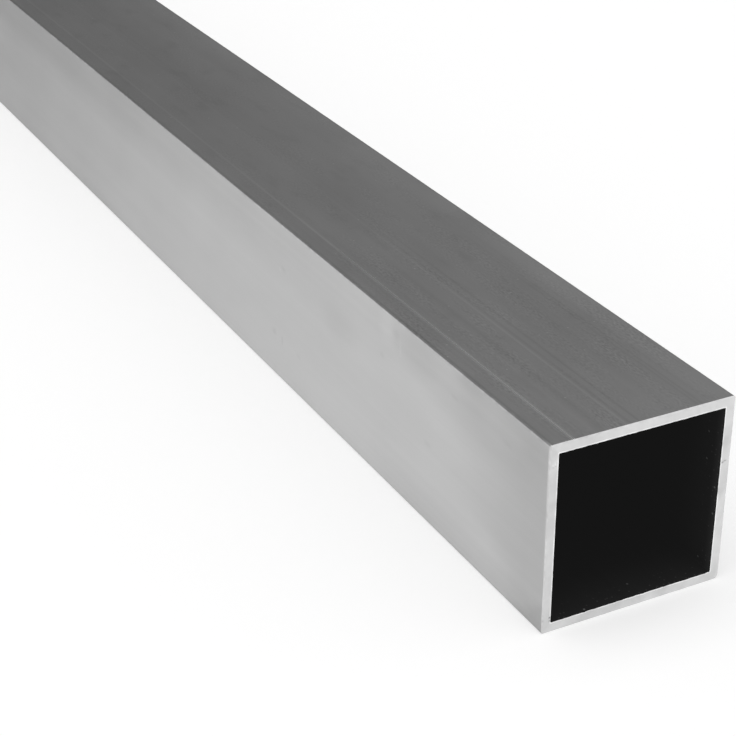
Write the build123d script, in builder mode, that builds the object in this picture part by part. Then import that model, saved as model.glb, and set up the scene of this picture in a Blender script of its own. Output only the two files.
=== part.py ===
"""Square aluminium tube: one straight length of extruded box section, sawn square at both ends.

The tube lies on one of its four flats. Its length runs along X, its width along Y and its height along Z,
and the origin is the centre of the rectangle that it rests on. All sizes are in millimetres.
"""

from build123d import *
import os

# Driving dimensions
tube_length = 1000.0  # one stock length, cut from a longer extrusion
outside_size = 30.0  # width and height over the flats
wall_thickness = 1.5
outside_corner_radius = 0.4  # the die leaves the outer corners almost sharp
inside_corner_radius = 0.2
outside_edge_break = 0.1  # chamfer on the sawn ends' outer edges, left by a file
inside_edge_break = 0.05  # chamfer on the sawn ends' inner edges, barely deburred

# What follows from them
bore_size = outside_size - 2 * wall_thickness

# The section's plane stands across the tube at its -X end, centred on the tube's axis.
section_plane = Plane(
    origin=(-tube_length / 2, 0, outside_size / 2),
    x_dir=(0, 1, 0),
    z_dir=(1, 0, 0),
)


def edges_round(face: Face, opening: bool) -> ShapeList[Edge]:
    """The edges round a sawn end's bore, or else those round its outside."""
    if opening:
        return face.inner_wires().edges()
    return face.outer_wire().edges()


with BuildPart() as square_tube:
    # The extruded section: a box with rounded corners round a square bore
    with BuildSketch(section_plane):
        RectangleRounded(outside_size, outside_size, outside_corner_radius)
        RectangleRounded(bore_size, bore_size, inside_corner_radius, mode=Mode.SUBTRACT)
    extrude(amount=tube_length)

    # Both sawn ends are deburred, outside and inside.
    sawn_ends = square_tube.faces().filter_by(Axis.X)
    outside_edges = [edge for face in sawn_ends for edge in edges_round(face, opening=False)]
    inside_edges = [edge for face in sawn_ends for edge in edges_round(face, opening=True)]
    chamfer(outside_edges, length=outside_edge_break)
    chamfer(inside_edges, length=inside_edge_break)

square_tube.part.label = "square_tube"

os.makedirs("parts", exist_ok=True)
export_step(square_tube.part, "parts/square_tube.step")
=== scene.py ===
"""Looks of a square aluminium tube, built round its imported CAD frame.

The tube lies along X on a pale studio floor, and the open end nearest the camera is the one at +X.
Its finish is one closed mesh: the CAD node's section and length, with the relief that a die, a saw and
a file leave. Lengths are in metres unless a name says otherwise.
"""

import math
import random

import bpy
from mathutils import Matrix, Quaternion, Vector, noise
from mathutils.bvhtree import BVHTree


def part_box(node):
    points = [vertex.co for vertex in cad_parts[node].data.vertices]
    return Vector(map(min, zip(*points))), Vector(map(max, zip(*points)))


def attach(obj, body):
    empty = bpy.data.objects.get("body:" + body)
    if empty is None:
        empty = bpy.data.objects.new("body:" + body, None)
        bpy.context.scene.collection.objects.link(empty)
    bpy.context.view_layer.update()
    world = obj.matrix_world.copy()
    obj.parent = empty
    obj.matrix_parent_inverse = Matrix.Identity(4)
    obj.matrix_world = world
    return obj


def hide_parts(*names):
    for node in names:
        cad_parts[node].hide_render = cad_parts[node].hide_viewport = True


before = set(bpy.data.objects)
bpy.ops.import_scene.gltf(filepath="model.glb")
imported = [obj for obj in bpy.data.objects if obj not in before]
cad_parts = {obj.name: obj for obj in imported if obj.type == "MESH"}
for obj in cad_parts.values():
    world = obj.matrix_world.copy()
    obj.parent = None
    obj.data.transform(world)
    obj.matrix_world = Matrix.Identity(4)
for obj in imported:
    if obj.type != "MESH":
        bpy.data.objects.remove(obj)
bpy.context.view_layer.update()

MM = 0.001
MICRON = 0.000001

# The tube's own sizes, from the frame
TUBE_NODE = "square_tube"
low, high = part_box(TUBE_NODE)
LENGTH = high.x - low.x
SIDE = high.y - low.y
HALF_SIDE = SIDE / 2
HALF_LENGTH = LENGTH / 2
AXIS_HEIGHT = (low.z + high.z) / 2

# Fine relief of the section
CORNER_RADIUS = 0.4 * MM
BORE_CORNER_RADIUS = 0.2 * MM
EDGE_ROLL_OFF = 25 * MICRON  # how far a flat falls away where it meets a corner
ROLL_OFF_BAND = 1.9 * MM
FLAT_SINK = 10 * MICRON  # the flats lie this far below the ridges that the die left
CORNER_BAND = 1.2 * MM  # how wide a strip along each corner is darkened by painted shade and carries painted beads of light

# Fine relief of the sawn ends
EDGE_BREAK = 0.08 * MM  # how far the file took back the outer edge, on average
EDGE_BREAK_CHANGE = 0.6  # how much that changes along the edge, as a share of it
BURR_DEPTH = 0.3 * MM  # how far along the bore what is left of the burr reaches
FILED_WIDTH = 1.3 * MM  # of the filed strip round a corner
FILED_REACH = 1.5 * MM  # of that strip along the tube
WEDGE = 0.22 * MM  # how much further in the near end's upper corner on the -Y side was filed
WEDGE_SHARE = 0.8  # it tapers off down this share of the side

HALF_FLAT = HALF_SIDE - CORNER_RADIUS

# What is uneven along the sawn ends' edges: how long its stretches are, in millimetres, and which slice of
# the noise it is cut from, so that no two of them are alike
SLOW_BREAKS = {"long_mm": 2.5, "cut": 0.3}
QUICK_BREAKS = {"long_mm": 0.6, "cut": 0.6}
BURR_STRETCHES = {"long_mm": 0.7, "cut": 0.9}

# How finely the mesh is divided
FLAT_STEP = 0.75 * MM
CLOSEST_COLUMNS = 0.003  # as a share of half a flat
CORNER_STEPS = 8
LINE_STEPS = 4  # over a die line's width
NICK_STEPS = 6  # over a nick's height
BESIDE_CORNERS = [0.12 * MM, 0.3 * MM, 0.55 * MM]  # extra columns, where corners are filed
SKIN_STEP = 20 * MM
END_STEP = 5 * MM  # the skin's painted light and shade changes faster near the ends
END_REACH = 150 * MM
FILED_STEPS = [0.4 * MM, 0.9 * MM, 1.5 * MM, 2.5 * MM]
BORE_STEP = 50 * MM
CLOSEST_RINGS = 0.5 * MM  # between those beside a sawn end and the evenly spaced ones
WALL_STEPS = 12
WALL_CROWDING = 1.4  # above 1, the sawn face's rings crowd towards the bore
SHARP_ANGLE = math.radians(30)  # where the mesh bends more than this, it is shaded as an edge

# The four flats, counter-clockwise as seen from +X, by the direction that each faces in the YZ plane
UNDERSIDE, FAR_SIDE, TOP, NEAR_SIDE = range(4)
FACING = [Vector((0, -1)), Vector((1, 0)), Vector((0, 1)), Vector((-1, 0))]

# How far what is left of the saw's burr stands into the bore from each wall, which is below 0 where it is
# filed off, and how far up or down that changes along the wall
BURR_HEIGHT = {UNDERSIDE: 0.015 * MM, FAR_SIDE: 0.04 * MM, TOP: 0.045 * MM, NEAR_SIDE: -0.05 * MM}
BURR_CHANGE = {UNDERSIDE: 0.11 * MM, FAR_SIDE: 0.03 * MM, TOP: 0.05 * MM, NEAR_SIDE: 0.01 * MM}

# How far the near end's corners were filed round, by the flat that a corner comes after
FILED_DEPTH = {UNDERSIDE: 0.15 * MM, TOP: 0.07 * MM}


def smooth(value, start, stop):
    """0 up to start, 1 from stop on, and a smooth rise between them."""
    share = min(1.0, max(0.0, (value - start) / (stop - start)))
    return share * share * (3 - 2 * share)


def bell(distance, width):
    """1 in the middle, falling smoothly to 0 half a width away."""
    if abs(distance) >= width / 2:
        return 0.0
    return 0.5 + 0.5 * math.cos(2 * math.pi * distance / width)


# ---------------------------------------------------------------------------------------------------------
# What the die, handling and the saw left on the metal, and the painted light and shade on it
# ---------------------------------------------------------------------------------------------------------


def die_line(from_first_edge, width_mm, rise_microns, sheen, fade="even"):
    """A line that the die drew along a flat.

    from_first_edge is its place across the flat, from 0 to 1: from -Y to +Y on the top. rise is the height
    of its ridge or, below 0, the depth of its groove. sheen says how much brighter or duller its metal is,
    and fade how it grows fainter inward.
    """
    return {
        "across": (1 - 2 * from_first_edge) * HALF_SIDE / HALF_FLAT,
        "width": width_mm * MM / HALF_FLAT,
        "rise": rise_microns * MICRON,
        "sheen": sheen,
        "fade": fade,
    }


# The top's lines, where the photograph has them: place, width, rise, sheen and fade
TOP_LINES = [
    die_line(0.013, 1.0, 0, -0.90),
    die_line(0.066, 0.7, -3, -0.20, "slow"),
    die_line(0.094, 0.6, -4, -0.24, "slow"),
    die_line(0.122, 0.8, 4, 3.15, "slow"),
    die_line(0.165, 0.9, -2, -0.18, "slow"),
    die_line(0.240, 1.3, 2, 0.31, "quick"),
    die_line(0.290, 1.6, -3, -0.55, "quick"),
    die_line(0.345, 1.2, -1, -0.10, "quick"),
    die_line(0.404, 0.7, 3, 0.95, "quick"),
    die_line(0.427, 0.8, -3, -0.55, "quick"),
    die_line(0.471, 0.7, -3, -0.80, "quick"),
    die_line(0.492, 0.5, 1, 0.10, "quick"),
    die_line(0.545, 1.0, -1, -0.10, "quick"),
    die_line(0.660, 2.4, -1, -0.17, "quick"),
    die_line(0.702, 0.5, 1, 0.12, "quick"),
    die_line(0.735, 0.6, 1, 0.22, "quick"),
    die_line(0.795, 0.5, -2, -0.30, "quick"),
    die_line(0.818, 0.5, -2, -0.36, "quick"),
    die_line(0.860, 1.1, -2, -0.28, "quick"),
]


# The ranges that a hidden flat's lines are drawn from
LINE_PLACES = (0.05, 0.95)
LINE_WIDTHS_MM = (0.5, 2.0)
LINE_RISES_MICRONS = (-3, 2)


def random_lines(seed, count, strength):
    """Faint die lines for a flat, the same on each run."""
    chance = random.Random(seed)
    return [
        die_line(
            chance.uniform(*LINE_PLACES),
            chance.uniform(*LINE_WIDTHS_MM),
            chance.uniform(*LINE_RISES_MICRONS),
            chance.uniform(-strength, strength),
        )
        for _ in range(count)
    ]


LINES = {
    UNDERSIDE: random_lines(seed=3, count=14, strength=0.3),
    FAR_SIDE: random_lines(seed=5, count=12, strength=0.3),
    TOP: TOP_LINES,
    NEAR_SIDE: random_lines(seed=8, count=10, strength=0.08),
}

# How much fainter lines are along the tube's middle than at its ends, and from where to where they fade:
# inward from the tube's end, in widths of the tube
FADES = {"even": (0.55, 0.5, 4.0), "slow": (0.80, 0.3, 4.0), "quick": (0.85, 0.5, 3.0)}


def line_strength(x, fade):
    """How strongly the die's lines of this fade show at x."""
    share, start, stop = FADES[fade]
    return 1 - share * smooth((HALF_LENGTH - abs(x)) / SIDE, start, stop)


def from_corner(column):
    """How far a column is from the middle of the corner nearest to it, round the section."""
    half_arc = CORNER_RADIUS * math.pi / 4
    return (1 - abs(column["across"])) * HALF_FLAT + half_arc * abs(1 - 2 * column["turn"])


# The painted shade and light of an upright flat, part by part: how much each part darkens the metal, and over
# which range it comes or goes. DOWN ranges run from 0 at the flat's top edge to 1 at its bottom edge. IN
# ranges run inward from the tube's end, in widths of the tube.
END_SHADE = 0.185  # painted shade towards the tube's ends
END_SHADE_START_IN = 0.05
END_SHADE_STOP_IN = 1.05
END_SHADE_START_ABOVE = 0.1  # how much further in than that its fade starts along the top edge
END_SHADE_STOP_ABOVE = 0.4
END_SHADE_LATER = 0.08  # how much further in its fade starts below the flat's middle
END_SHADE_LATER_DOWN = (0.4, 0.6)
END_SHADE_SOONER = 0.6  # how much nearer to the end it stops along the bottom edge
END_SHADE_SOONER_DOWN = (0.5, 0.9)
END_SHADE_THINNER = 0.35  # the share of it that is missing along the bottom edge
END_SHADE_THINNER_DOWN = (0.70, 0.88)
UPPER_SHADE = 0.045  # painted shade along the top edge
UPPER_DOWN = (0.1, 0.4)
UPPER_DOUBLES_IN = (2.0, 4.5)
UPPER_GROWTH = 0.7  # how many times itself it gains on top of that
UPPER_GROWS_IN = (4.0, 4.8)
LOWER_SHADE = 0.05  # painted shade along the bottom edge
LOWER_DOWN = (0.78, 0.95)
LOWER_IN = (1.0, 1.8)
LOWER_LIGHT = -0.06  # painted light on the lower part further in
LOWER_LIGHT_DOWN = (0.45, 0.9)
LOWER_LIGHT_IN = (1.2, 2.2)
END_CORNER_SHADE = 0.09  # painted shade in the lower corner of the tube's end
CORNER_DOWN = (0.82, 0.88)
CORNER_SLANT = 0.75  # how far down its slanted edge goes for each width inward
MIDDLE_SHADE = 0.15  # painted shade over the tube's middle
MIDDLE_IN = (3.5, 8.0)

# The painted light and shade of a level flat. ACROSS ranges run from 0 at its -Y edge to 1 at its +Y edge.
EDGE_HIGHLIGHT = -0.14  # a painted highlight: a brighter band along the edge on the +Y side
EDGE_ACROSS = (0.80, 0.96)
EDGE_STRENGTH = 0.8  # on average, between its blotches
BLOTCH_LENGTH = 9 * MM
BLOTCH_CUT = 0.5  # which slice of the noise they are cut from
STRETCH_STRENGTH = 0.7  # how much stronger the band is in the middle of its brightest stretch
STRETCH_IN = 1.8
STRETCH_LENGTH_IN = 2.4
WIDE_HIGHLIGHT = -0.06  # further in, a broader and fainter painted highlight beside that band
WIDE_ACROSS = (0.5, 0.85)
WIDE_IN = (2.0, 4.0)
INNER_SHADE = 0.05  # painted shade over the tube's middle, from edge to edge
INNER_IN = (3.8, 4.8)


def side_painted_light(from_top, sides_in):
    """Painted shade and light of an upright flat: darker near the tube's ends, along its edges and over its
    middle.
    """
    upper = 1 - smooth(from_top, *UPPER_DOWN)
    start = END_SHADE_START_IN + END_SHADE_START_ABOVE * upper + END_SHADE_LATER * smooth(from_top, *END_SHADE_LATER_DOWN)
    stop = END_SHADE_STOP_IN + END_SHADE_STOP_ABOVE * upper - END_SHADE_SOONER * smooth(from_top, *END_SHADE_SOONER_DOWN)
    end_shade = 1 - smooth(sides_in, start, stop)
    end_shade *= 1 - END_SHADE_THINNER * smooth(from_top, *END_SHADE_THINNER_DOWN)
    upper *= 1 + smooth(sides_in, *UPPER_DOUBLES_IN) + UPPER_GROWTH * smooth(sides_in, *UPPER_GROWS_IN)
    lower = smooth(from_top, *LOWER_DOWN) * (1 - smooth(sides_in, *LOWER_IN))
    lower_light = smooth(from_top, *LOWER_LIGHT_DOWN) * smooth(sides_in, *LOWER_LIGHT_IN)
    corner = smooth(from_top - CORNER_SLANT * sides_in, *CORNER_DOWN)
    middle = smooth(sides_in, *MIDDLE_IN)
    return (
        END_SHADE * end_shade
        + UPPER_SHADE * upper
        + LOWER_SHADE * lower
        + LOWER_LIGHT * lower_light
        + END_CORNER_SHADE * corner
        + MIDDLE_SHADE * middle
    )


def level_painted_light(from_near, sides_in, x):
    """Painted shade and light of a level flat: below 0 where there is a blotchy painted highlight along its
    edge.
    """
    strength = EDGE_STRENGTH + noise.noise(Vector((x / BLOTCH_LENGTH, BLOTCH_CUT, BLOTCH_CUT)))
    strength += STRETCH_STRENGTH * bell(sides_in - STRETCH_IN, STRETCH_LENGTH_IN)
    edge = strength * smooth(from_near, *EDGE_ACROSS)
    wide = smooth(from_near, *WIDE_ACROSS) * smooth(sides_in, *WIDE_IN)
    inner = smooth(sides_in, *INNER_IN)
    return INNER_SHADE * inner + EDGE_HIGHLIGHT * edge + WIDE_HIGHLIGHT * wide


def painted_light_at(face, across, x):
    """How much painted shade darkens the skin at a place on one of the flats, below 0 painted light: 0 is not
    at all and 1 is black.
    """
    sides_in = (HALF_LENGTH - abs(x)) / SIDE
    if face == TOP:
        return level_painted_light((1 - across) / 2, sides_in, x)
    if face == UNDERSIDE:
        return level_painted_light((1 + across) / 2, sides_in, x)
    return side_painted_light((1 - across) / 2 if face == FAR_SIDE else (1 + across) / 2, sides_in)


def painted_light(column, x):
    """The same for a column of the skin at x. Over a corner it changes from one flat's to the next's."""
    here = painted_light_at(column["face"], column["across"], x)
    if column["turn"] == 0:
        return here
    after = painted_light_at((column["face"] + 1) % len(FACING), -1.0, x)
    return here + (after - here) * column["turn"]


def end_mark(y_mm, z_mm, wide_mm, high_mm, darkening, depth_microns):
    """A small nick in the near end's sawn face, drawn darker, or, with darkening below 0, a bright spot on
    it.
    """
    return {
        "y": y_mm * MM,
        "z": z_mm * MM,
        "wide": wide_mm * MM,
        "high": high_mm * MM,
        "darkening": darkening,
        "depth": depth_microns * MICRON,
    }


def scuff(from_end_mm, from_top_mm, long_mm, wide_mm, tilt, darkening):
    """A faint smudge or a soft duller patch on the -Y side or, with dulling below 0, a brighter one.

    Its place is that of its middle, and tilt is in degrees, down towards -X.
    """
    return {
        "from_end": from_end_mm * MM,
        "from_top": from_top_mm * MM,
        "size": (long_mm * MM, wide_mm * MM),
        "tilt": math.radians(tilt),
        "darkening": darkening,
    }


# The marks on the near end's sawn face, where the photograph has them
END_MARKS = [
    end_mark(-14.38, 26.84, 0.45, 0.40, -0.20, 0),
    end_mark(-14.02, 26.90, 0.50, 0.34, -0.24, 0),
    end_mark(-14.36, 26.50, 0.45, 0.26, 0.22, 30),
    end_mark(-13.94, 26.62, 0.40, 0.26, 0.18, 30),
    end_mark(13.80, 19.66, 0.60, 0.50, 0.50, 60),
    end_mark(14.20, 19.84, 0.80, 0.40, 0.42, 50),
    end_mark(-13.70, 2.42, 0.42, 0.50, 0.75, 50),
    end_mark(-13.68, 1.88, 0.42, 0.45, 0.65, 40),
    end_mark(-14.90, 3.04, 0.45, 0.50, 0.22, 30),
    end_mark(-14.80, 2.15, 0.45, 0.50, 0.16, 30),
]

# How much painted shade darkens the sawn face at each wall, and how much its tone changes from blot to blot
WALL_SHADE = {UNDERSIDE: 0.01, FAR_SIDE: 0.0, TOP: 0.0, NEAR_SIDE: 0.05}
WALL_BLOTS = {UNDERSIDE: 0.12, FAR_SIDE: 0.12, TOP: 0.0, NEAR_SIDE: 0.06}
WALL_BLOT_MM = 2.5

# Painted light on each wall of the bore at its mouths, where light falls in
MOUTH_PAINTED_LIGHT = {UNDERSIDE: 0.1, FAR_SIDE: 1.0, TOP: 0.5, NEAR_SIDE: 0.5}

# The sawn face's painted highlight round the bore, and the painted beads of light along its outer edge
RIM_HIGHLIGHT = 0.30
RIM_CHANGE = 1.2  # how much that changes along the rim, as a share of it
RIM_WIDTH = 0.24 * MM
RIM_CORE = RIM_WIDTH / 3  # as far as this from the bore it is at its brightest
OUTER_BEADS = 0.20  # how much brighter or duller they are
OUTER_BEAD_MM = 0.7
SAWN_CUT = 0.7 * MM  # which slice of the noise the sawn face's spots are cut from

# The smudges and soft patches on the -Y side, where the photograph has them
SCUFFS = [
    scuff(32.6, 16.4, 3.4, 1.5, 0, 0.040),
    scuff(10.5, 5.0, 4.2, 1.1, 4, 0.035),
    scuff(24.9, 4.8, 3.4, 1.0, 4, 0.045),
    scuff(42.6, 2.6, 3.6, 2.4, 0, 0.050),
    scuff(41.2, 4.4, 0.8, 4.0, 0, -0.045),
    scuff(47.1, 8.0, 2.0, 1.6, 10, 0.045),
    scuff(77.4, 22.2, 2.8, 1.1, 12, 0.050),
    scuff(84.0, 22.0, 1.0, 2.6, 0, 0.090),
    scuff(87.2, 21.6, 2.4, 1.9, 0, 0.070),
    scuff(82.7, 8.1, 2.8, 1.4, 12, 0.055),
    scuff(84.0, 8.7, 1.8, 1.2, 12, -0.040),
    scuff(36.0, 2.5, 18.0, 13.0, 0, 0.065),
    scuff(45.6, 2.4, 7.0, 9.0, 0, -0.045),
    scuff(21.0, 0.8, 11.0, 3.4, 0, 0.055),
    scuff(62.0, 9.6, 18.0, 9.0, 0, 0.040),
    scuff(2.0, 2.6, 12.0, 9.0, 0, 0.028),
    scuff(12.5, 4.2, 16.0, 9.0, 0, -0.045),
]


# ---------------------------------------------------------------------------------------------------------
# The tube's mesh
# ---------------------------------------------------------------------------------------------------------


def bore_half_width():
    """Half the bore, read from the CAD node: how far it is from the tube's axis to the bore's wall."""
    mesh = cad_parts[TUBE_NODE].data
    walls = BVHTree.FromPolygons([v.co for v in mesh.vertices], [p.vertices for p in mesh.polygons])
    *_, distance = walls.ray_cast(Vector((0, 0, AXIS_HEIGHT)), Vector((0, 1, 0)))
    return distance


HALF_BORE = bore_half_width()
WALL = HALF_SIDE - HALF_BORE


def spread(middle, width, steps):
    """Places over a width, in an even number of steps."""
    return {middle + width * k / steps for k in range(-steps // 2, steps // 2 + 1)}


def places_across(face):
    """Where a flat has columns: evenly, with more at its lines and corners and round the nicks in its end."""
    steps = round(SIDE / FLAT_STEP)
    places = {-1 + 2 * i / steps for i in range(steps + 1)}
    for line in LINES[face]:
        places |= spread(line["across"], line["width"], LINE_STEPS)
    for beside in BESIDE_CORNERS:
        places |= {-1 + beside / HALF_FLAT, 1 - beside / HALF_FLAT}
    out = FACING[face]
    half_wall = (HALF_FLAT + HALF_BORE) / 2  # half the length of the sawn face's wall, along its middle
    for mark in END_MARKS:
        centre = Vector((mark["y"], mark["z"] - AXIS_HEIGHT))
        if centre.dot(out) > HALF_BORE:
            along = centre.dot(Vector((-out.y, out.x)))
            places |= {place / half_wall for place in spread(along, mark["high"], NICK_STEPS)}
    kept = []
    for place in sorted(p for p in places if -1 <= p <= 1):
        if not kept or place - kept[-1] > CLOSEST_COLUMNS or place == 1:
            kept.append(place)
    return kept


def columns_of_section():
    """What runs along the tube: one column for each point round its section.

    face and across place a column on a flat, from -1 to 1. Over a corner, turn goes from 0 to 1.
    """
    columns = []
    for face in LINES:
        for across in places_across(face):
            columns.append({"face": face, "across": across, "turn": 0.0})
        for step in range(1, CORNER_STEPS):
            columns.append({"face": face, "across": 1.0, "turn": step / CORNER_STEPS})
    return columns


COLUMNS = columns_of_section()


def relief(column):
    """How far a column of the skin stands above its flat, which is never above the CAD section's."""
    if column["turn"] > 0:
        return -EDGE_ROLL_OFF
    into_band = (abs(column["across"]) - 1) * HALF_SIDE / ROLL_OFF_BAND + 1
    height = -EDGE_ROLL_OFF * max(0.0, into_band) ** 2
    if into_band < 0:
        height -= FLAT_SINK * min(1.0, -into_band)
        for line in LINES[column["face"]]:
            height += line["rise"] * bell(column["across"] - line["across"], line["width"])
    return min(0.0, height)


def sheen(column, fade):
    """How much brighter, or below 0 duller, the die's lines of this fade left the metal of a column."""
    if column["turn"] > 0:
        return 0.0
    lines = [line for line in LINES[column["face"]] if line["fade"] == fade]
    return sum(line["sheen"] * bell(column["across"] - line["across"], line["width"]) for line in lines)


def filed(column, x):
    """How far the file took back this column at x: near the +X end, beside two of the corners."""
    corner = column["face"] if column["across"] > 0 else (column["face"] - 1) % len(FACING)
    depth = FILED_DEPTH.get(corner, 0.0) * bell(from_corner(column), FILED_WIDTH)
    return depth * (1 - smooth(HALF_LENGTH - x, 0.0, FILED_REACH))


def unevenness(column, x, long_mm, cut):
    """Noise that changes round the edges of the sawn end at x, about -1 to 1, in stretches of this length."""
    round_mm = (column["face"] + (column["across"] + 1) / 2) * SIDE / MM
    return noise.noise(Vector((round_mm / long_mm, x / MM, cut)))


def edge_break(column, x):
    """How far the file took back the outer edge of the sawn end at x: unevenly."""
    change = unevenness(column, x, **SLOW_BREAKS) + unevenness(column, x, **QUICK_BREAKS)
    return EDGE_BREAK * (1 + EDGE_BREAK_CHANGE * change)


def wedge(column):
    """How much further along the tube the file ran: most at the near end's upper corner on the -Y side."""
    if column["face"] == NEAR_SIDE and column["turn"] == 0:
        return WEDGE * (1 - smooth((1 + column["across"]) / 2, 0.0, WEDGE_SHARE))
    if column["face"] == TOP:
        return WEDGE * column["turn"]
    return 0.0


def between_flats(of_flats, column):
    """A column's share of what each flat has its own measure of. Over a corner it changes evenly."""
    here = of_flats[column["face"]]
    after = of_flats[(column["face"] + 1) % len(FACING)]
    return here + (after - here) * column["turn"]


def section_point(column, half, radius, rise):
    """A column's (y, z) about the tube's axis, on a square section of this half width and corner radius."""
    out = FACING[column["face"]]
    along = Vector((-out.y, out.x))
    straight = half - radius
    if column["turn"] == 0:
        return out * (half + rise) + along * (column["across"] * straight)
    angle = column["turn"] * math.pi / 2
    return (out + along) * straight + (out * math.cos(angle) + along * math.sin(angle)) * (radius + rise)


def placed(x, section):
    """A section's (y, z) points, placed in the frame at x."""
    return [Vector((x, y, z + AXIS_HEIGHT)) for y, z in section]


def skin_ring(x, edge_x=None):
    """The ring of the skin at x or, with edge_x, the outer edge of the sawn face there."""
    rises = [relief(column) - filed(column, x) for column in COLUMNS]
    if edge_x is not None:
        rises = [rise - edge_break(column, edge_x) for rise, column in zip(rises, COLUMNS)]
    section = [section_point(c, HALF_SIDE, CORNER_RADIUS, rise) for c, rise in zip(COLUMNS, rises)]
    return placed(x if edge_x is None else edge_x, section)


def burr(column, x):
    """How far the burr stands into the bore at the mouth at x: unevenly."""
    change = unevenness(column, x, **BURR_STRETCHES)
    return between_flats(BURR_HEIGHT, column) + between_flats(BURR_CHANGE, column) * change


def bore_ring(x, with_burr=False):
    """The ring of the bore at x, as far into the bore as the burr stands if that is wanted."""
    rises = [-burr(column, x) if with_burr else 0.0 for column in COLUMNS]
    section = [section_point(c, HALF_BORE, BORE_CORNER_RADIUS, rise) for c, rise in zip(COLUMNS, rises)]
    return placed(x, section)


def from_end_places(at_end, reach, close_step, step):
    """Distances from an end to the tube's middle.

    They start with those in at_end, and go on close together as far as reach and further apart beyond.
    """
    close = [close_step * i for i in range(1, round(reach / close_step) + 1)]
    count = round((HALF_LENGTH - reach) / step)
    far = [reach + (HALF_LENGTH - reach) * i / count for i in range(1, count + 1)]
    return at_end + [place for place in close + far if place > max(at_end) + CLOSEST_RINGS]


def along_tube(from_end):
    """The same distances as places along X, from the -X end to the +X end."""
    return [-HALF_LENGTH + d for d in from_end] + [HALF_LENGTH - d for d in reversed(from_end[:-1])]


def lay_ring(points, x, surface, tones):
    """A ring of the mesh, what surface is between it and the next, and how much its columns are darkened,
    mostly by painted light and shade.
    """
    return {"points": points, "x": x, "surface": surface, "tones": tones}


def end_wear_and_painted_light(point, column, from_bore, near):
    """How much the sawn face is darkened here, with below 0 for brighter, and how deep a nick is: painted
    shade at the walls, a painted highlight round the bore and painted beads of light, with blots and nicks.
    """
    spot = Vector((point.y, point.z, SAWN_CUT)) / MM
    # painted shade at each wall, and real blots of tone
    level = between_flats(WALL_SHADE, column)
    level += between_flats(WALL_BLOTS, column) * noise.noise(spot / WALL_BLOT_MM)
    # painted highlight round the bore, and painted beads of light along the outer edge
    patchy = 1 + RIM_CHANGE * noise.noise(spot)
    level -= RIM_HIGHLIGHT * patchy * (1 - smooth(from_bore, RIM_CORE, RIM_WIDTH))
    outermost = smooth(from_bore, WALL - RIM_WIDTH, WALL)
    level += OUTER_BEADS * outermost * noise.noise(spot / OUTER_BEAD_MM)
    depth = 0.0
    for mark in END_MARKS if near else []:
        strength = bell(point.y - mark["y"], mark["wide"]) * bell(point.z - mark["z"], mark["high"])
        level += mark["darkening"] * strength
        depth += mark["depth"] * strength
    return level, depth


def sawn_rings(end, outside, inside):
    """The rings over a sawn face, from its outer edge to the bore's. end is 1 at +X and -1 at -X."""
    rings = []
    for step in range(WALL_STEPS + 1):
        from_bore = (1 - step / WALL_STEPS) ** WALL_CROWDING
        points = [b.lerp(a, from_bore) for a, b in zip(outside, inside)]
        tones = []
        for point, column in zip(points, COLUMNS):
            tone, depth = end_wear_and_painted_light(point, column, from_bore * WALL, near=end > 0)
            point.x -= end * depth
            tones.append(tone)
        rings.append(lay_ring(points, end * HALF_LENGTH, "sawn", tones))
    return rings


def tube_rings():
    """The closed mesh's rings: along the skin, over the near end, back along the bore, over the far end."""
    skin = along_tube(from_end_places([EDGE_BREAK] + FILED_STEPS, END_REACH, END_STEP, SKIN_STEP))
    rings = [lay_ring(skin_ring(x), x, "skin", [painted_light(column, x) for column in COLUMNS]) for x in skin]
    rings[-1]["surface"] = "sawn"
    for point, column in zip(rings[-1]["points"], COLUMNS):
        point.x -= wedge(column)
    outside = {end: skin_ring(end * (HALF_LENGTH - EDGE_BREAK), end * HALF_LENGTH) for end in (1, -1)}
    inside = {end: bore_ring(end * HALF_LENGTH, with_burr=True) for end in (1, -1)}
    rings += sawn_rings(1, outside[1], inside[1])
    rings[-1]["surface"] = "bore"
    bore = along_tube(from_end_places([BURR_DEPTH], BORE_STEP, BORE_STEP, BORE_STEP))[::-1]
    # painted light on the bore's walls at its mouths
    tones = [-between_flats(MOUTH_PAINTED_LIGHT, column) for column in COLUMNS]
    rings += [lay_ring(bore_ring(x), x, "bore", tones) for x in bore]
    rings += sawn_rings(-1, outside[-1], inside[-1])[::-1]
    return rings


# Where the exported tube's texture holds each stretch of rings: (left, right, bottom, top) in its square
BAKE_MARGIN = 0.008
BAKE_ISLANDS = [
    {"surface": "skin", "box": (0.0, 1.0, 0.0, 0.70)},
    {"surface": "sawn", "box": (0.0, 0.5, 0.85, 1.0)},
    {"surface": "bore", "box": (0.0, 1.0, 0.70, 0.85)},
    {"surface": "sawn", "box": (0.5, 1.0, 0.85, 1.0)},
]


def bake_bands(rings):
    """Each ring's island in the texture, and where along it the band to the next ring starts and stops."""
    bands = []
    lengths = [0.0] * len(BAKE_ISLANDS)
    island = 0
    for i, ring in enumerate(rings):
        if ring["surface"] != BAKE_ISLANDS[island]["surface"]:
            island += 1
        following = rings[(i + 1) % len(rings)]
        length = 1.0 if ring["surface"] == "sawn" else abs(following["x"] - ring["x"])
        bands.append((island, lengths[island], lengths[island] + length))
        lengths[island] += length
    return [(island, start / lengths[island], stop / lengths[island]) for island, start, stop in bands]


def bake_place(island, along, around):
    """A place in the exported tube's texture. along and around go from 0 to 1."""
    left, right, bottom, top = BAKE_ISLANDS[island]["box"]
    if BAKE_ISLANDS[island]["surface"] == "sawn":
        along, around = around, along
    across = left + BAKE_MARGIN + along * (right - left - 2 * BAKE_MARGIN)
    up = bottom + BAKE_MARGIN + around * (top - bottom - 2 * BAKE_MARGIN)
    return [across, up]


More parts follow.
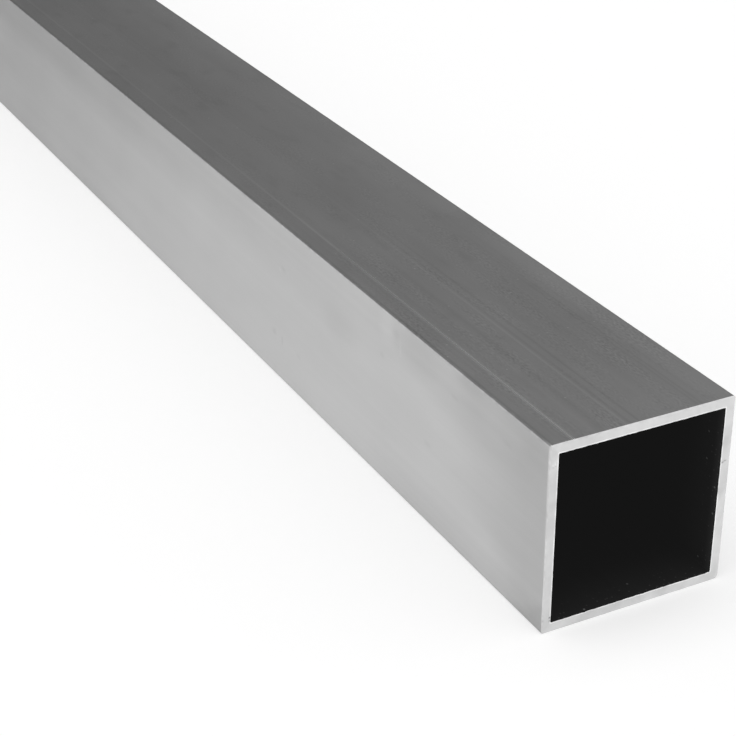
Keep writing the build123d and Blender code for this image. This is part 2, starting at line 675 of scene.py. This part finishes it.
def distances_round():
    """How far round the section each column is, in metres, and last the whole way round."""
    outline = placed(0.0, [section_point(c, HALF_SIDE, CORNER_RADIUS, 0.0) for c in COLUMNS])
    steps = [(after - here).length for here, after in zip(outline, outline[1:] + outline[:1])]
    return [sum(steps[:j]) for j in range(len(COLUMNS) + 1)]


def add_faces(mesh, rings, materials):
    """Gives the mesh its points, faces, materials and coordinates.

    The coordinates are kept on face corners, so that those round the section don't wrap back within a face.
    """
    count = len(COLUMNS)
    reached = distances_round()
    surfaces = list(materials)
    faces, indices, places, bake_places = [], [], [], []
    for i, (ring, (island, start, stop)) in enumerate(zip(rings, bake_bands(rings))):
        i2 = (i + 1) % len(rings)
        for j in range(count):
            j2 = (j + 1) % count
            faces.append((i * count + j, i * count + j2, i2 * count + j2, i2 * count + j))
            indices.append(surfaces.index(ring["surface"]))
            for k, along, around in ((i, start, j), (i, start, j + 1), (i2, stop, j + 1), (i2, stop, j)):
                places += [rings[k]["x"], reached[around]]
                bake_places += bake_place(island, along, reached[around] / reached[-1])

    mesh.from_pydata([point for ring in rings for point in ring["points"]], [], faces)
    mesh.polygons.foreach_set("material_index", indices)
    for name in surfaces:
        mesh.materials.append(materials[name])
    mesh.uv_layers.new(name="along_and_round").data.foreach_set("uv", places)
    mesh.uv_layers.new(name="OFBake").data.foreach_set("uv", bake_places)


def add_wear_and_painted_light(mesh, rings):
    """Gives the mesh's points the die's lines, the painted light and shade of each surface with the saw's
    marks, and the corners' band of painted shade.
    """
    by_fade = {fade: [sheen(column, fade) for column in COLUMNS] for fade in FADES}
    sheens = []
    for ring in rings:
        strengths = {fade: line_strength(ring["x"], fade) for fade in FADES}
        sheens += [sum(by_fade[fade][j] * strengths[fade] for fade in FADES) for j in range(len(COLUMNS))]
    kept = {
        "die_sheen": sheens,
        "darkening": [tone for ring in rings for tone in ring["tones"]],
        "corner": [bell(from_corner(column), CORNER_BAND) for column in COLUMNS] * len(rings),
    }
    for name, values in kept.items():
        mesh.attributes.new(name, "FLOAT", "POINT").data.foreach_set("value", values)


def make_tube(materials):
    """The tube's finish, with a material for each kind of surface."""
    rings = tube_rings()
    mesh = bpy.data.meshes.new("square_tube_finish")
    add_faces(mesh, rings, materials)
    add_wear_and_painted_light(mesh, rings)
    mesh.validate()
    mesh.shade_smooth()
    mesh.set_sharp_from_angle(angle=SHARP_ANGLE)
    tube = bpy.data.objects.new("square_tube_finish", mesh)
    bpy.context.scene.collection.objects.link(tube)
    return tube


# ---------------------------------------------------------------------------------------------------------
# Materials
# ---------------------------------------------------------------------------------------------------------

# The skin. A streak's grain is this wide round the tube and this long along it, a speck is this wide, and
# share says how many squares of the specks' spacing have one.
SKIN_LEVEL = 0.61
SKIN_ROUGHNESS = 0.33
SKIN_EDGE_TINT = (0.55, 0.55, 0.55, 1)
SKIN_BUMP = 15 * MICRON
DIE_WANDER = {"round_mm": 4, "along_mm": 60, "seed": 11}
DIE_WANDER_SHARE = 0.3  # how much the die's lines change along their length
FINE_STREAKS = {"round_mm": 0.35, "along_mm": 90, "detail": 3, "seed": 1}
BROAD_STREAKS = {"round_mm": 3.0, "along_mm": 160, "seed": 2}
CLOUDS = {"round_mm": 9, "along_mm": 22, "detail": 3, "seed": 3}
PATCHES = {"round_mm": 3.5, "along_mm": 9, "seed": 21}
PATCHES_FROM = (0.0, 0.6)  # where in that noise a patch starts, and where it has its full strength
PITS = {"round_mm": 0.35, "along_mm": 0.7, "seed": 5}
PIT_ROWS = {"round_mm": 3, "along_mm": 18, "seed": 31}
PIT_ROWS_FROM = (-0.35, 0.65)
PITS_BELOW_SHEEN = (0.2, 0.8)  # the die's bright lines have no pits
PITS_REACH_MM = 130
PITS_BEYOND = 0.4  # the share of them that is left beyond that reach
GRIT = {"spacing_mm": 3.6, "wide_mm": 0.28, "share": 0.09, "seed": 7}
CORNER_BEADS = {"round_mm": 1.5, "along_mm": 1.2, "seed": 41}

# How much each layer brightens the skin or, below 0, dulls it, and what it adds to its roughness and height
SKIN_TONES = {
    "die": 0.11,
    "fine": 0.015,
    "broad": 0.015,
    "clouds": 0.035,
    "patches": -0.05,
    "pits": 0.38,
    "grit": 0.2,
    # corner is painted shade along the corners, corner_beads painted beads of light on them, and darkening
    # the flats' painted light and shade
    "corner": -0.06,
    "corner_beads": 0.14,
    "darkening": -SKIN_LEVEL,
}
SKIN_ROUGHNESSES = {"die": -0.03, "fine": 0.03, "clouds": 0.03, "patches": 0.02}
SKIN_HEIGHTS = {"fine": 0.1, "pits": 0.4, "grit": 1.0}

# The sawn faces
SAWN_LEVEL = 0.70
SAWN_ROUGHNESS = 0.5
SAWN_BUMP = 6 * MICRON
BLADE_MARKS = {"Scale": 900.0, "Detail": 3.0}
BLADE_MARKS_TONE = 0.10
SAWN_BLOTS = {"Scale": 180.0, "Detail": 2.0}
SAWN_BLOTS_TONE = 0.16

# The bore: painted near-black shade, with a painted faint glow
BORE_SHADE_LEVEL = 0.002
BORE_ROUGHNESS = 0.7
BORE_PAINTED_GLOW = 0.0072  # a painted glow, though the bore is no lamp, so that its depth is a near-black
BORE_STREAKS = {"round_mm": 2.0, "along_mm": 120, "seed": 5}
FILINGS = {"spacing_mm": 0.9, "wide_mm": 0.25, "share": 0.25, "seed": 9}
FILINGS_REACH_MM = 5
CHIPS = {"spacing_mm": 2.4, "wide_mm": 0.35, "share": 0.10, "seed": 13}
CHIPS_REACH_MM = 6
BORE_PAINTED_LIGHT_REACH_MM = 10
MOUTH_REACH_MM = 2
# painted light near the ends and at the mouths, where light falls in
BORE_TONES = {"streaks": 0.0015, "filings": 0.03, "chips": 0.12, "painted_light_near_ends": 0.008, "painted_mouth_light": -0.018}

# From where to where a speck and a spot fade, and a surface comes to face up
SPECK_EDGE = (0.6, 1.4)  # as shares of a speck's radius
SPOT_EDGE = (0.1, 0.5)  # as shares of a spot's size, out from its middle
UPWARD = (0.5, 0.9)  # where 1 is a surface that faces straight up


class Nodes:
    """A material's node tree, with one call for each node."""

    def __init__(self, name, owner=None):
        self.material = owner or bpy.data.materials.new(name)
        self.material.use_nodes = True
        self.tree = self.material.node_tree
        self.shader = self.tree.nodes.get("Principled BSDF")

    def add(self, kind, inputs, output=0, **settings):
        """Adds a node and returns one of its outputs.

        inputs holds a value or another node's output for each socket, and settings the node's own properties.
        """
        made = self.tree.nodes.new(kind)
        for name, value in settings.items():
            setattr(made, name, value)
        for socket, value in inputs.items():
            self.feed(made.inputs[socket], value)
        return made.outputs[output]

    def feed(self, socket, value):
        if isinstance(value, bpy.types.NodeSocket):
            self.tree.links.new(value, socket)
        else:
            socket.default_value = value

    def shade(self, **inputs):
        """Feeds sockets of the shader, whose names have _ for a space here."""
        for name, value in inputs.items():
            self.feed(self.shader.inputs[name.replace("_", " ")], value)

    def sum(self, *terms):
        """A sum of (output, factor) pairs and plain numbers."""
        total = 0.0
        for term in terms:
            if isinstance(term, tuple):
                inputs = {0: term[0], 1: term[1], 2: total}
                total = self.add("ShaderNodeMath", inputs, operation="MULTIPLY_ADD")
            else:
                total = self.add("ShaderNodeMath", {0: total, 1: term}, operation="ADD")
        return total

    def opposite(self, value):
        """1 where the value is 0, and 0 where it is 1."""
        return self.sum((value, -1.0), 1.0)

    def product(self, *factors):
        total = factors[0]
        for factor in factors[1:]:
            total = self.add("ShaderNodeMath", {0: total, 1: factor}, operation="MULTIPLY")
        return total

    def step(self, value, start, stop):
        """0 where the value is below start, 1 where it is above stop, and a smooth rise between them."""
        inputs = {"Value": value, "From Min": start, "From Max": stop}
        return self.add("ShaderNodeMapRange", inputs, interpolation_type="SMOOTHSTEP")

    def kept(self, name):
        """A value that the mesh keeps for each of its points."""
        return self.add("ShaderNodeAttribute", {}, output="Fac", attribute_name=name)

    def place(self, round_mm, along_mm, seed):
        """A place on the tube, counted in grains that are this long and this wide round it."""
        where = self.add("ShaderNodeUVMap", {}, uv_map="along_and_round")
        scale = (1 / (along_mm * MM), 1 / (round_mm * MM), 1.0)
        place = self.add("ShaderNodeVectorMath", {0: where, 1: scale}, operation="MULTIPLY")
        return self.add("ShaderNodeVectorMath", {0: place, 1: (seed, seed, seed)}, operation="ADD")

    def streaks(self, round_mm, along_mm, detail=2.0, seed=0.0):
        """Noise drawn out along the tube, about -1 to 1."""
        inputs = {"Vector": self.place(round_mm, along_mm, seed), "Scale": 1.0, "Detail": detail}
        value = self.add("ShaderNodeTexNoise", inputs)
        return self.add("ShaderNodeMath", {0: value, 1: 2.0, 2: -1.0}, operation="MULTIPLY_ADD")

    def specks(self, spacing_mm, wide_mm, share, seed=0.0):
        """1 in scattered round specks, of which each square of the spacing has one with this chance."""
        inputs = {"Vector": self.place(spacing_mm, spacing_mm, seed), "Scale": 1.0}
        distance = self.add("ShaderNodeTexVoronoi", inputs, output="Distance", voronoi_dimensions="2D")
        chance = self.add("ShaderNodeSeparateColor", {0: distance.node.outputs["Color"]})
        chosen = self.add("ShaderNodeMath", {0: chance, 1: share}, operation="LESS_THAN")
        radius = wide_mm / 2 / spacing_mm
        start, stop = SPECK_EDGE
        outside = self.step(distance, start * radius, stop * radius)
        return self.product(chosen, self.opposite(outside))

    def facing_up(self):
        """1 where the surface faces up and 0 elsewhere: dust and grit lie there."""
        normal = self.add("ShaderNodeNewGeometry", {}, output="Normal")
        upward = self.add("ShaderNodeSeparateXYZ", {0: normal}, output="Z")
        return self.step(upward, *UPWARD)

    def spot(self, at, size, tilt):
        """1 in the middle of an oval spot, falling to 0 at its edge. at and size are in metres."""
        where = self.add("ShaderNodeUVMap", {}, uv_map="along_and_round")
        inputs = {"Vector": where, "Location": (*at, 0), "Rotation": (0, 0, tilt), "Scale": (*size, 1)}
        place = self.add("ShaderNodeMapping", inputs, vector_type="TEXTURE")
        distance = self.add("ShaderNodeVectorMath", {0: place}, output="Value", operation="LENGTH")
        return self.opposite(self.step(distance, *SPOT_EDGE))

    def near_ends(self, reach_mm):
        """1 at the tube's ends, falling to 0 this far in."""
        where = self.add("ShaderNodeUVMap", {}, uv_map="along_and_round")
        along = self.add("ShaderNodeSeparateXYZ", {0: where}, output="X")
        from_middle = self.add("ShaderNodeMath", {0: along}, operation="ABSOLUTE")
        return self.step(from_middle, HALF_LENGTH - reach_mm * MM, HALF_LENGTH)

    def grey(self, level):
        return self.add("ShaderNodeCombineColor", {0: level, 1: level, 2: level})


def scuff_place(mark):
    """A scuff's place along the tube and round its section, where the -Y side comes after the other flats."""
    flat_and_corner = 2 * HALF_FLAT + CORNER_RADIUS * math.pi / 2
    return HALF_LENGTH - mark["from_end"], NEAR_SIDE * flat_and_corner + mark["from_top"] - CORNER_RADIUS


def weighed(layers, weights):
    """The layers that have a weight, each with its own."""
    return [(layers[name], weight) for name, weight in weights.items()]


def mill_skin():
    """Aluminium as it leaves the die: dull, with lines and streaks along its length, and painted light and
    shade on its flats and corners.
    """
    n = Nodes("mill_aluminium_skin")
    facing_up = n.facing_up()
    die_sheen = n.kept("die_sheen")
    wander = n.sum((n.streaks(**DIE_WANDER), DIE_WANDER_SHARE), 1.0)
    pit_rows = n.step(n.streaks(**PIT_ROWS), *PIT_ROWS_FROM)
    between_lines = n.opposite(n.step(die_sheen, *PITS_BELOW_SHEEN))
    fewer_inward = n.sum((n.near_ends(PITS_REACH_MM), 1 - PITS_BEYOND), PITS_BEYOND)
    corner = n.kept("corner")
    layers = {
        "die": n.product(die_sheen, wander),
        "fine": n.streaks(**FINE_STREAKS),
        "broad": n.streaks(**BROAD_STREAKS),
        "clouds": n.streaks(**CLOUDS),
        "patches": n.product(n.step(n.streaks(**PATCHES), *PATCHES_FROM), facing_up),
        "pits": n.product(n.streaks(**PITS), pit_rows, between_lines, fewer_inward, facing_up),
        "grit": n.product(n.specks(**GRIT), facing_up),
        "corner": corner,
        "corner_beads": n.product(corner, n.streaks(**CORNER_BEADS)),
        "darkening": n.kept("darkening"),
    }
    scuffs = [(n.spot(scuff_place(s), s["size"], s["tilt"]), -SKIN_LEVEL * s["darkening"]) for s in SCUFFS]
    level = n.sum(*weighed(layers, SKIN_TONES), *scuffs, SKIN_LEVEL)
    roughness = n.sum(*weighed(layers, SKIN_ROUGHNESSES), SKIN_ROUGHNESS)
    height = n.sum(*weighed(layers, SKIN_HEIGHTS))
    bump = n.add("ShaderNodeBump", {"Height": height, "Strength": 1.0, "Distance": SKIN_BUMP})
    n.shade(Base_Color=n.grey(level), Roughness=roughness, Normal=bump, Metallic=1.0)
    n.shade(Specular_Tint=SKIN_EDGE_TINT)
    return n.material


def sawn_face():
    """The sawn and filed end: paler and matt, with fine marks of the blade, and the painted light and shade
    that the darkening holds.
    """
    n = Nodes("mill_aluminium_sawn")
    where = n.add("ShaderNodeTexCoord", {}, output="Object")
    marks = n.add("ShaderNodeTexNoise", {"Vector": where, **BLADE_MARKS})
    blots = n.add("ShaderNodeTexNoise", {"Vector": where, **SAWN_BLOTS})
    level = n.sum(
        (marks, BLADE_MARKS_TONE),
        (blots, SAWN_BLOTS_TONE),
        (n.kept("darkening"), -SAWN_LEVEL),
        SAWN_LEVEL - (BLADE_MARKS_TONE + SAWN_BLOTS_TONE) / 2,
    )
    bump = n.add("ShaderNodeBump", {"Height": marks, "Strength": 1.0, "Distance": SAWN_BUMP})
    n.shade(Base_Color=n.grey(level), Roughness=SAWN_ROUGHNESS, Normal=bump, Metallic=1.0)
    return n.material


def bore_in_painted_shade():
    """Inside the tube: a painted near-black for the shade deep in the bore, with a painted glow, painted
    light at the mouths, and the streaks, filings and chips that the die and the saw left.
    """
    n = Nodes("mill_aluminium_bore_painted_shade")
    layers = {
        "streaks": n.streaks(**BORE_STREAKS),
        "filings": n.product(n.specks(**FILINGS), n.near_ends(FILINGS_REACH_MM)),
        "chips": n.product(n.specks(**CHIPS), n.near_ends(CHIPS_REACH_MM)),
        "painted_light_near_ends": n.near_ends(BORE_PAINTED_LIGHT_REACH_MM),
        "painted_mouth_light": n.product(n.kept("darkening"), n.near_ends(MOUTH_REACH_MM)),
    }
    level = n.sum(*weighed(layers, BORE_TONES), BORE_SHADE_LEVEL)
    n.shade(Base_Color=n.grey(level), Roughness=BORE_ROUGHNESS, Metallic=0.0, Specular_IOR_Level=0.0)
    n.shade(Emission_Color=(1, 1, 1, 1), Emission_Strength=BORE_PAINTED_GLOW)
    return n.material


# ---------------------------------------------------------------------------------------------------------
# Studio
# ---------------------------------------------------------------------------------------------------------

FLOOR_RADIUS = 12.0
FLOOR_CORNERS = 96
FLOOR_LEVEL = 0.60
FLOOR_ROUGHNESS = 0.9
FLOOR_LIFT = 0.45  # what rays that see the floor directly find on top, so that its open part is white
SKY_LEVEL = 0.98  # for the light that falls on the studio; what is seen of the sky is white

# A large soft lamp, above the tube and on the camera's side
SOFTBOX_PLACE = (0.2, -0.6, 2.0)
SOFTBOX_AIM = (0.2, 0, 0)
SOFTBOX_SIDE = 1.5
SOFTBOX_POWER = 8

# A grey board beyond the tube's far end, out of the picture, that the tube's top flat mirrors. It stands
# across the tube's length. Its edge on the camera's side leans out, so that it covers the sky above that
# lean.
BOARD_DISTANCE = 4.0
BOARD_HEIGHT = 10.0
BOARD_REACH = 10.0
BOARD_LEAN = 1.6  # how far its slanted edge moves aside for each metre of height
BOARD_LEVEL = 0.239


def seen_directly(n):
    """1 for rays that see a thing directly: the camera's, and those that metal or glass sends on."""
    path = n.tree.nodes.new("ShaderNodeLightPath").outputs
    seen = path["Is Camera Ray"]
    for kind in ("Is Glossy Ray", "Is Transmission Ray"):
        seen = n.add("ShaderNodeMath", {0: seen, 1: path[kind]}, operation="MAXIMUM")
    return seen


def make_floor():
    bpy.ops.mesh.primitive_circle_add(
        vertices=FLOOR_CORNERS,
        radius=FLOOR_RADIUS,
        fill_type="NGON",
        location=(0, 0, low.z),
    )
    floor = bpy.context.object
    floor.name = "studio_floor"
    n = Nodes("pale_floor")
    lift = n.product(seen_directly(n), FLOOR_LIFT)
    n.shade(Base_Color=(FLOOR_LEVEL, FLOOR_LEVEL, FLOOR_LEVEL, 1), Specular_IOR_Level=0.0)
    n.shade(Roughness=FLOOR_ROUGHNESS, Emission_Color=(1, 1, 1, 1), Emission_Strength=lift)
    floor.data.materials.append(n.material)


def make_board():
    foot = [(0, 0), (BOARD_REACH, 0)]
    top = [(BOARD_REACH, BOARD_HEIGHT), (-BOARD_LEAN * BOARD_HEIGHT, BOARD_HEIGHT)]
    corners = [(-BOARD_DISTANCE, y, z) for y, z in foot + top]
    mesh = bpy.data.meshes.new("grey_board")
    mesh.from_pydata(corners, [], [range(len(corners))])
    board = bpy.data.objects.new("grey_board", mesh)
    bpy.context.scene.collection.objects.link(board)
    board.visible_camera = False
    n = Nodes("grey_board")
    n.shade(Base_Color=(0, 0, 0, 1), Specular_IOR_Level=0.0)
    n.shade(Emission_Color=(1, 1, 1, 1), Emission_Strength=BOARD_LEVEL)
    mesh.materials.append(n.material)


def make_world():
    world = bpy.data.worlds.new("studio_world")
    bpy.context.scene.world = world
    n = Nodes("", world)
    strength = n.sum((seen_directly(n), 1 - SKY_LEVEL), SKY_LEVEL)
    background = world.node_tree.nodes["Background"]
    n.feed(background.inputs["Color"], (1, 1, 1, 1))
    n.feed(background.inputs["Strength"], strength)
    world.cycles.sampling_method = "NONE"


def make_softbox():
    light = bpy.data.lights.new("key_softbox", "AREA")
    light.shape = "SQUARE"
    light.size = SOFTBOX_SIDE
    light.energy = SOFTBOX_POWER
    lamp = bpy.data.objects.new("key_softbox", light)
    lamp.location = SOFTBOX_PLACE
    lamp.rotation_mode = "QUATERNION"
    ahead = Vector(SOFTBOX_AIM) - Vector(SOFTBOX_PLACE)
    lamp.rotation_quaternion = ahead.to_track_quat("-Z", "Y")
    lamp.visible_camera = False
    bpy.context.scene.collection.objects.link(lamp)


# ---------------------------------------------------------------------------------------------------------
# Camera
# ---------------------------------------------------------------------------------------------------------

# The camera's place from the near end's upper corner on the -Y side, and where it looks, both fitted to the
# photograph's edges
CAMERA_FROM_CORNER = Vector((172.64, -115.48, 119.24)) * MM
HEADING = math.radians(152.77)  # from +X towards +Y
PITCH = math.radians(-27.56)
ROLL = math.radians(-0.19)
SENSOR_WIDTH_MM = 36.0
LENS_MM = 89.46
CLIP_START = 0.01
CLIP_END = 100.0


def make_camera():
    data = bpy.data.cameras.new("camera")
    data.sensor_width = SENSOR_WIDTH_MM
    data.lens = LENS_MM
    data.clip_start = CLIP_START
    data.clip_end = CLIP_END
    camera = bpy.data.objects.new("camera", data)
    corner = Vector((high.x, low.y, high.z))
    camera.location = corner + CAMERA_FROM_CORNER
    level = math.cos(PITCH)
    ahead = Vector((level * math.cos(HEADING), level * math.sin(HEADING), math.sin(PITCH)))
    camera.rotation_mode = "QUATERNION"
    camera.rotation_quaternion = ahead.to_track_quat("-Z", "Y") @ Quaternion((0, 0, 1), ROLL)
    bpy.context.scene.collection.objects.link(camera)
    bpy.context.scene.camera = camera


# ---------------------------------------------------------------------------------------------------------

make_camera()
tube = make_tube({"skin": mill_skin(), "sawn": sawn_face(), "bore": bore_in_painted_shade()})
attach(tube, "root")
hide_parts(TUBE_NODE)

make_floor()
make_board()
make_world()
make_softbox()

bpy.context.scene.view_settings.view_transform = "Standard"
